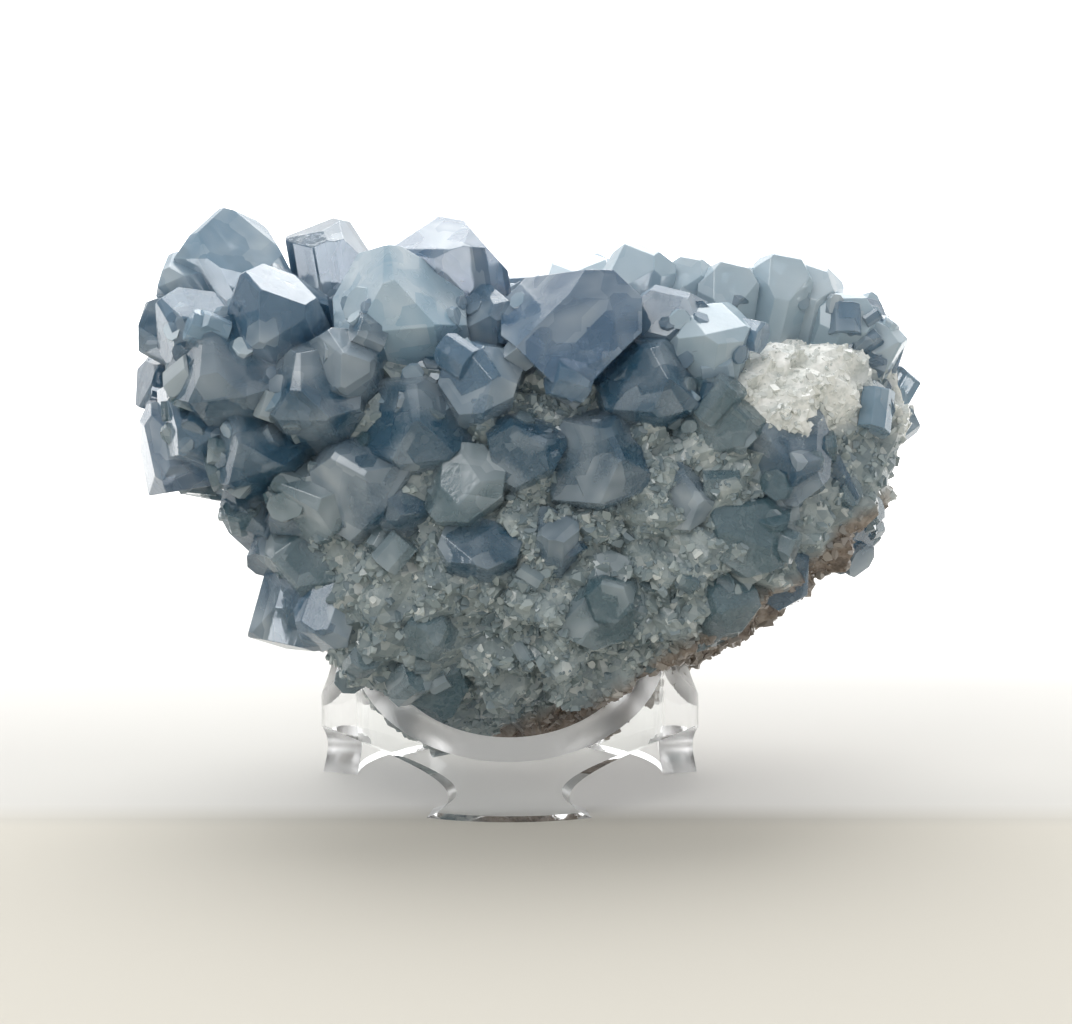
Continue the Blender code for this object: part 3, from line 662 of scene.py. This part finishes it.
# Height of the scooped rim of the ring beside a point
def ringTop(point):
    azimuth = math.degrees(math.atan2(point.y, point.x))
    top = standLook["height"]
    for foot in standLook["footAzimuths"]:
        apart = math.radians((azimuth - foot + 180) % 360 - 180)
        if abs(apart) >= math.pi / 2:
            continue
        across = math.sin(apart) / math.tan(math.radians(standLook["scoopHalfAngle"]))
        along = math.cos(apart)
        if abs(across) < along:
            drop = standLook["scoopDepth"] * math.sqrt(along ** 2 - across ** 2)
            top = min(top, standLook["height"] - drop * math.hypot(point.x, point.y)
                      / standLook["outer"])
    return top


def bodySurface(direction):
    centre = bodyLook["centre"]
    base = centre + direction * bodyRadius(direction)
    broken = brokenFacets(base, bodyLook["blockSize"], 1.2)
    broken += brokenFacets(base, bodyLook["grainSize"], 0.35)
    lift = rockRelief(base) + min(broken, bodyLook["proud"])
    reach = (base - centre).length + lift - 0.3
    if direction.z < -0.1:
        reach = min(reach, seatLimit(direction))
    return centre + direction * reach


def makeBody():
    deselectAll()
    bpy.ops.mesh.primitive_ico_sphere_add(subdivisions=bodyLook["subdivisions"], radius=1)
    body = bpy.context.object
    body.name = body.data.name = "massive_body"
    zones = body.data.attributes.new("zones", "FLOAT_COLOR", "POINT")
    for vert, zone in zip(body.data.vertices, zones.data):
        direction = vert.co.normalized()
        point = bodySurface(direction)
        vert.co = place(point)
        zone.color = (rindShare(point), snowShare(point), 0, 1)
    body.data.materials.append(stoneFinish)
    return body


say("massive body")
body = makeBody()


# Small crystals that fill the joints between the large ones, and flat ones sunk in the stone

smallLook = {
    "variants": 9, "joints": 800, "sunk": 230, "tries": 32000, "castFrom": 120,
    "jointWidth": (2.0, 5.6), "sunkWidth": (2.2, 5.4), "jointReach": 5.5,
    "margin": 3.3, "highest": 68, "edgeWear": 0.012,
    "paleAbove": 63, "blueAbove": 54, "frostRight": 14,
    "sunkBelow": 50, "jointsAbove": 30, "stoneJointsAbove": 44,
}
smallTones = ("frost", "pale", "mid", "deep", "smoky")


# One small crystal, 1 mm wide, as a list of points and a list of faces
def smallShape(seed):
    rng = random.Random(500 + seed)
    bpy.ops.mesh.primitive_cube_add(size=1, location=(0, 0, 0))
    obj = bpy.context.object
    obj.data.transform(Matrix.Diagonal((1, rng.uniform(0.7, 0.95), 1.8, 1)) @
                       Matrix.Translation((0, 0, 0.5)))
    obj.data.transform(Matrix.Scale(mm, 4))
    bpy.ops.object.mode_set(mode="EDIT")
    grindFaces(crystalPlanes(1, 0.85, rng.uniform(1.2, 1.6), rng.choice(("chisel", "blunt")), rng))
    bpy.ops.mesh.select_all(action="SELECT")
    bpy.ops.mesh.bevel(offset=smallLook["edgeWear"] * mm, segments=1, affect="EDGES",
                       clamp_overlap=True)
    bpy.ops.object.mode_set(mode="OBJECT")
    points = [vert.co / mm - Vector((0, 0, 0.45)) for vert in obj.data.vertices]
    faces = [list(face.vertices) for face in obj.data.polygons]
    bpy.data.objects.remove(obj)
    return points, faces


# True where something rises beside the place, so that it lies in a joint between crystals
def inJoint(tree, spot, normal):
    side = normal.orthogonal().normalized()
    for turn in range(6):
        way = Matrix.Rotation(math.radians(60 * turn), 3, normal) @ side
        hit = tree.ray_cast(spot + normal * 0.7 * mm, way, smallLook["jointReach"] * mm)[0]
        if hit is not None:
            return True
    return False


# The tone of the small crystals changes as it does in the large ones: pale along the top,
# deep below, smoky towards the stone
def smallTone(point, rng):
    height = point.z + rng.uniform(-6, 6)
    if height > smallLook["paleAbove"]:
        right = point.x > smallLook["frostRight"]
        return rng.choice(("frost", "frost", "pale") if right else ("frost", "pale", "mid"))
    if height > smallLook["blueAbove"]:
        return rng.choice(("mid", "deep", "pale"))
    return rng.choice(("deep", "smoky", "smoky"))


def smallSpots(tree, stoneTree):
    rng = random.Random(71)
    centre = place(bodyLook["centre"])
    margin = Vector((1, 1, 1)) * smallLook["margin"] * mm
    boxLow, boxHigh = cadLow + margin, cadHigh - margin
    boxHigh.z = smallLook["highest"] * mm
    counts = {"joints": 0, "sunk": 0}
    spots = []
    for _ in range(smallLook["tries"]):
        way = Vector([rng.gauss(0, 1) for _ in range(3)]).normalized()
        start = centre + Vector((way.x * 1.3, way.y * 0.8, way.z)) * smallLook["castFrom"] * mm
        aim = centre + Vector([rng.uniform(-28, 28), 0, rng.uniform(-14, 20)]) * mm
        hit, normal = tree.ray_cast(start, (aim - start).normalized())[:2]
        if hit is None:
            continue
        if normal.dot(start - hit) < 0:
            normal = -normal
        point = (hit - ringAxis) / mm
        stoneGap = (stoneTree.find_nearest(hit)[0] - hit).length
        onStone = stoneGap < 0.3 * mm
        bare = rindShare(point) + snowShare(point) < 0.2
        if onStone and point.z < smallLook["sunkBelow"] and bare:
            kind, lean = "sunk", 0.4
        elif not onStone and point.z > smallLook["jointsAbove"] and inJoint(tree, hit, normal):
            kind, lean = "joints", 0.45
        elif onStone and point.z > smallLook["stoneJointsAbove"] and snowShare(point) < 0.3:
            kind, lean = "joints", 0.45
        else:
            continue
        if counts[kind] == smallLook[kind]:
            continue
        low, high = smallLook["jointWidth" if kind == "joints" else "sunkWidth"]
        width = low + (high - low) * rng.random() ** 1.6
        axis = (normal + Vector([rng.uniform(-lean, lean) for _ in range(3)])).normalized()
        depth = rng.uniform(0.75, 1.0) if kind == "sunk" else rng.uniform(0.35, 0.7)
        root = hit - axis * width * depth * mm
        tip = root + axis * width * 1.1 * mm
        if any(not low < value < high for low, value, high in zip(boxLow, tip, boxHigh)):
            continue
        counts[kind] += 1
        tone = smallTone(point, rng) if kind == "joints" else "smoky"
        spots.append((root, axis, width, rng.uniform(0, 360), tone))
    print("small crystals", counts)
    return spots


def makeSmallCrystals():
    deselectAll()
    graph = bpy.context.evaluated_depsgraph_get()
    stoneTree = BVHTree.FromObject(body, graph)
    corners, polygons = [], []
    for obj in (crystals, body):
        start = len(corners)
        corners.extend(vert.co.copy() for vert in obj.data.vertices)
        polygons.extend([start + index for index in face.vertices] for face in obj.data.polygons)
    tree = BVHTree.FromPolygons(corners, polygons)
    shapes = [smallShape(number) for number in range(smallLook["variants"])]
    rng = random.Random(72)
    points, faces, slots, spaces = [], [], [], []
    for number, (root, axis, width, turn, tone) in enumerate(smallSpots(tree, stoneTree)):
        shape, shapeFaces = rng.choice(shapes)
        spin = Matrix.Rotation(math.radians(turn), 3, "Z")
        upright = axis.to_track_quat("Z", "Y").to_matrix() @ spin
        shift = Vector((number * 1.7 % 9, number * 2.3 % 7, number * 3.1 % 8)) * 10 * mm
        start = len(points)
        for point in shape:
            points.append(root + upright @ (point * width * mm))
            spaces.extend(point * width * mm + shift)
        for corner in shapeFaces:
            faces.append([start + index for index in corner])
            slots.append(smallTones.index(tone))
    mesh = bpy.data.meshes.new("small_crystals")
    mesh.from_pydata(points, [], faces)
    for tone in smallTones:
        mesh.materials.append(celestites[tone])
    mesh.polygons.foreach_set("material_index", slots)
    mesh.attributes.new("crystalSpace", "FLOAT_VECTOR", "POINT").data.foreach_set("vector", spaces)
    small = bpy.data.objects.new("small_crystals", mesh)
    bpy.context.scene.collection.objects.link(small)
    return small


say("small crystals")
smallCrystals = makeSmallCrystals()
print("faces", len(smallCrystals.data.polygons))


# Grains of celestite that stand on the body

grainLook = {
    "front": 5200, "rest": 4000, "snow": 3600, "size": 0.85, "variants": 7,
    "frontHeights": (8, 57), "restHeights": (22, 60), "frontWay": -0.25, "snowBack": 8,
}


# One angular chip, a cube ground by a few faces, as lists of points and faces
def grainShape(seed):
    rng = random.Random(900 + seed)
    chip = bmesh.new()
    bmesh.ops.create_cube(chip, size=1)
    bmesh.ops.scale(chip, vec=(1, rng.uniform(0.7, 1.0), rng.uniform(1.0, 1.7)), verts=chip.verts)
    for _ in range(5):
        normal = Vector([rng.uniform(-1, 1) for _ in range(3)]).normalized()
        cut = bmesh.ops.bisect_plane(
            chip, geom=chip.verts[:] + chip.edges[:] + chip.faces[:],
            plane_co=normal * rng.uniform(0.34, 0.5), plane_no=normal, clear_outer=True)
        rim = [item for item in cut["geom_cut"] if isinstance(item, bmesh.types.BMEdge)]
        if rim:
            bmesh.ops.holes_fill(chip, edges=rim, sides=0)
    bmesh.ops.recalc_face_normals(chip, faces=chip.faces)
    chip.verts.ensure_lookup_table()
    points = [vert.co.copy() for vert in chip.verts]
    faces = [[vert.index for vert in face.verts] for face in chip.faces]
    chip.free()
    return points, faces


# Copies of the chips, each turned and sized on its own, in one mesh
def scatterGrains(name, spots, seed):
    rng = random.Random(seed)
    shapes = [grainShape(number) for number in range(grainLook["variants"])]
    points, faces, tints = [], [], []
    for spot, normal, size, tint in spots:
        shape, shapeFaces = rng.choice(shapes)
        turn = Matrix.Rotation(rng.uniform(0, 6.28), 3, "Z")
        lean = (normal + Vector([rng.uniform(-0.55, 0.55) for _ in range(3)])).normalized()
        upright = lean.to_track_quat("Z", "Y").to_matrix() @ turn
        start = len(points)
        for point in shape:
            points.append(spot + upright @ (point * size))
            tints.append(tint)
        faces.extend([[start + index for index in face] for face in shapeFaces])
    mesh = bpy.data.meshes.new(name)
    mesh.from_pydata(points, [], faces)
    tintLayer = mesh.attributes.new("tint", "FLOAT_COLOR", "POINT")
    tintLayer.data.foreach_set("color", [value for tint in tints for value in (*tint, 1)])
    mesh.materials.append(grainFinish)
    grains = bpy.data.objects.new(name, mesh)
    bpy.context.scene.collection.objects.link(grains)
    return grains


# Places on the stone where the test says so, found by rays from its centre
def surfaceSpots(tree, count, seed, wanted, size):
    rng = random.Random(seed)
    centre = place(bodyLook["centre"])
    spots = []
    for _ in range(count * 6):
        if len(spots) == count:
            break
        way = Vector([rng.gauss(0, 1) for _ in range(3)]).normalized()
        hit, normal, _, _ = tree.ray_cast(centre, way)
        if hit is None:
            continue
        share = wanted(way, (hit - ringAxis) / mm, rng)
        if share is None:
            continue
        if normal.dot(way) < 0:
            normal = -normal
        scale = size * mm * (0.5 + 1.2 * rng.random() ** 2)
        spots.append((hit - normal * scale * 0.3, normal, scale, share))
    return spots


def frontGrain(way, point, rng):
    low, high = grainLook["frontHeights"]
    if way.y > grainLook["frontWay"] or not low <= point.z <= high:
        return None
    return (rng.betavariate(1.6, 2.6), snowShare(point), 0.8 * rindShare(point))


def restGrain(way, point, rng):
    low, high = grainLook["restHeights"]
    if way.y < grainLook["frontWay"] or not low <= point.z <= high:
        return None
    return (rng.betavariate(1.6, 3.0), snowShare(point), 0.8 * rindShare(point))


def snowGrain(way, point, rng):
    if point.y > grainLook["snowBack"] or snowShare(point) < rng.uniform(0.2, 0.9):
        return None
    return (rng.uniform(0.5, 1), rng.uniform(0.4, 0.9), 0.0)


def makeGrains():
    graph = bpy.context.evaluated_depsgraph_get()
    tree = BVHTree.FromObject(body, graph)
    pieces = []
    for name, count, seed, wanted, size in (
        ("sugar_front", grainLook["front"], 11, frontGrain, grainLook["size"]),
        ("sugar_sides", grainLook["rest"], 12, restGrain, grainLook["size"] * 1.15),
        ("white_druse", grainLook["snow"], 13, snowGrain, grainLook["size"] * 0.8),
    ):
        pieces.append(scatterGrains(name, surfaceSpots(tree, count, seed, wanted, size), seed))
    return pieces


say("grains")
grains = makeGrains()
for piece in grains:
    print(piece.name, len(piece.data.polygons))


# The stand

def radialCutter(azimuth, halfAngle, halfHeight, centreHeight):
    deselectAll()
    reach = standLook["cutterReach"]
    bpy.ops.mesh.primitive_cone_add(vertices=standLook["cutterSides"], radius1=0, radius2=1, depth=1,
                                    location=(0, 0, 0.5))
    cutter = bpy.context.object
    bpy.ops.object.transform_apply(location=True, rotation=False, scale=False)
    spread = reach * math.tan(math.radians(halfAngle))
    rise = halfHeight * reach / standLook["outer"]
    turn = Matrix.Rotation(math.radians(azimuth), 4, "Z") @ Matrix.Rotation(math.radians(90), 4, "Y")
    size = Matrix.Diagonal((rise * mm, spread * mm, reach * mm, 1))
    cutter.data.transform(Matrix.Translation(place((0, 0, centreHeight))) @ turn @ size)
    return cutter


def applyCut(obj, cutter):
    cut = obj.modifiers.new("cut", "BOOLEAN")
    cut.operation = "DIFFERENCE"
    cut.object = cutter
    pick([obj])
    bpy.ops.object.modifier_apply(modifier="cut")
    bpy.data.objects.remove(cutter)


def makeStand():
    deselectAll()
    height = standLook["height"]
    bpy.ops.mesh.primitive_cylinder_add(
        vertices=standLook["sides"], radius=standLook["outer"] * mm, depth=height * mm,
        location=place((0, 0, height / 2)))
    stand = bpy.context.object
    stand.name = stand.data.name = "acrylic_ring"
    bpy.ops.object.transform_apply(location=True, rotation=False, scale=False)
    bpy.ops.mesh.primitive_cylinder_add(
        vertices=standLook["sides"], radius=(standLook["outer"] - standLook["wall"]) * mm,
        depth=height * 2 * mm, location=place((0, 0, height / 2)))
    applyCut(stand, bpy.context.object)
    for azimuth in standLook["footAzimuths"]:
        applyCut(stand, radialCutter(azimuth, standLook["scoopHalfAngle"], standLook["scoopDepth"],
                                     height))
    for azimuth in standLook["prongAzimuths"]:
        applyCut(stand, radialCutter(azimuth, standLook["archHalfAngle"], standLook["archHeight"],
                                     standLook["archCentre"]))
    stand.data.materials.clear()
    stand.data.materials.append(wallFinish)
    stand.data.materials.append(cutFinish)
    for face in stand.data.polygons:
        out = (face.center - ringAxis).to_2d()
        radial = abs(face.normal.to_2d().dot(out.normalized()))
        face.material_index = 0 if radial > 0.97 or face.normal.z < -0.9 else 1
    deselectAll()
    pick([stand])
    bpy.ops.object.shade_smooth_by_angle(angle=math.radians(25))
    return stand


say("stand")
stand = makeStand()
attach(stand, "root")
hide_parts("display_stand")

for piece in [crystals, smallCrystals, body] + grains:
    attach(piece, "root")
    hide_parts("celestite_cluster")


# Camera, as the photo was taken: a little above the specimen, square to its broken front

cameraLook = {
    "elevation": 10.5, "distance": 600, "pixelsPerMm": 7.48, "width": 1072,
    "target": (3.5, 0, 36.2), "sensor": 36,
}


def makeCamera():
    data = bpy.data.cameras.new("camera")
    camera = bpy.data.objects.new("camera", data)
    bpy.context.scene.collection.objects.link(camera)
    tilt = math.radians(cameraLook["elevation"])
    back = Vector((0, -math.cos(tilt), math.sin(tilt))) * cameraLook["distance"] * mm
    camera.location = place(cameraLook["target"]) + back
    camera.rotation_euler = (math.pi / 2 - tilt, 0, 0)
    data.sensor_fit = "HORIZONTAL"
    data.sensor_width = cameraLook["sensor"]
    span = cameraLook["width"] / cameraLook["pixelsPerMm"]
    data.lens = cameraLook["sensor"] * cameraLook["distance"] / span
    data.clip_start = 0.01
    bpy.context.scene.camera = camera


def makeLamp(name, spot, size, power):
    data = bpy.data.lights.new(name, "AREA")
    data.shape = "DISK"
    data.size = size
    data.energy = power
    lamp = bpy.data.objects.new(name, data)
    bpy.context.scene.collection.objects.link(lamp)
    lamp.location = spot
    lamp.rotation_euler = (Vector(stageLook["aim"]) - Vector(spot)).to_track_quat("-Z", "Y").to_euler()


# The card runs flat under the object and bends up into a wall behind it
def makeSweep():
    deselectAll()
    bpy.ops.mesh.primitive_plane_add(size=2, location=(0, 0, 0))
    sweep = bpy.context.object
    sweep.name = sweep.data.name = "floor"
    line = [(stageLook["front"], 0.0), (stageLook["bendStart"], 0.0)]
    for step in range(1, stageLook["bendSteps"] + 1):
        angle = math.radians(90 * step / stageLook["bendSteps"])
        line.append((stageLook["bendStart"] + stageLook["bendRadius"] * math.sin(angle),
                     stageLook["bendRadius"] * (1 - math.cos(angle))))
    line.append((line[-1][0], stageLook["wallTop"]))
    card = bmesh.new()
    rows = []
    for y, z in line:
        rows.append([card.verts.new((side * stageLook["halfWidth"], y, z)) for side in (-1, 1)])
    for lower, upper in zip(rows, rows[1:]):
        card.faces.new((lower[0], lower[1], upper[1], upper[0])).smooth = True
    card.to_mesh(sweep.data)
    card.free()
    sweep.data.materials.append(paleCard())


def makeStage():
    makeSweep()
    world = bpy.data.worlds.new("studio")
    bpy.context.scene.world = world
    world.use_nodes = True
    world.node_tree.nodes["Background"].inputs["Color"].default_value = (1, 1, 1, 1)
    world.node_tree.nodes["Background"].inputs["Strength"].default_value = stageLook["world"]
    makeLamp("top_back", (-0.04, 0.46, 0.62), 0.8, 5.0)
    makeLamp("front", (-0.35, -0.6, 0.7), 0.45, 1.7)
    bpy.context.scene.view_settings.view_transform = "Standard"


say("camera and light")
makeCamera()
makeStage()

print("cad box mm", [round(v * 1000, 2) for v in (*cadLow, *cadHigh)])
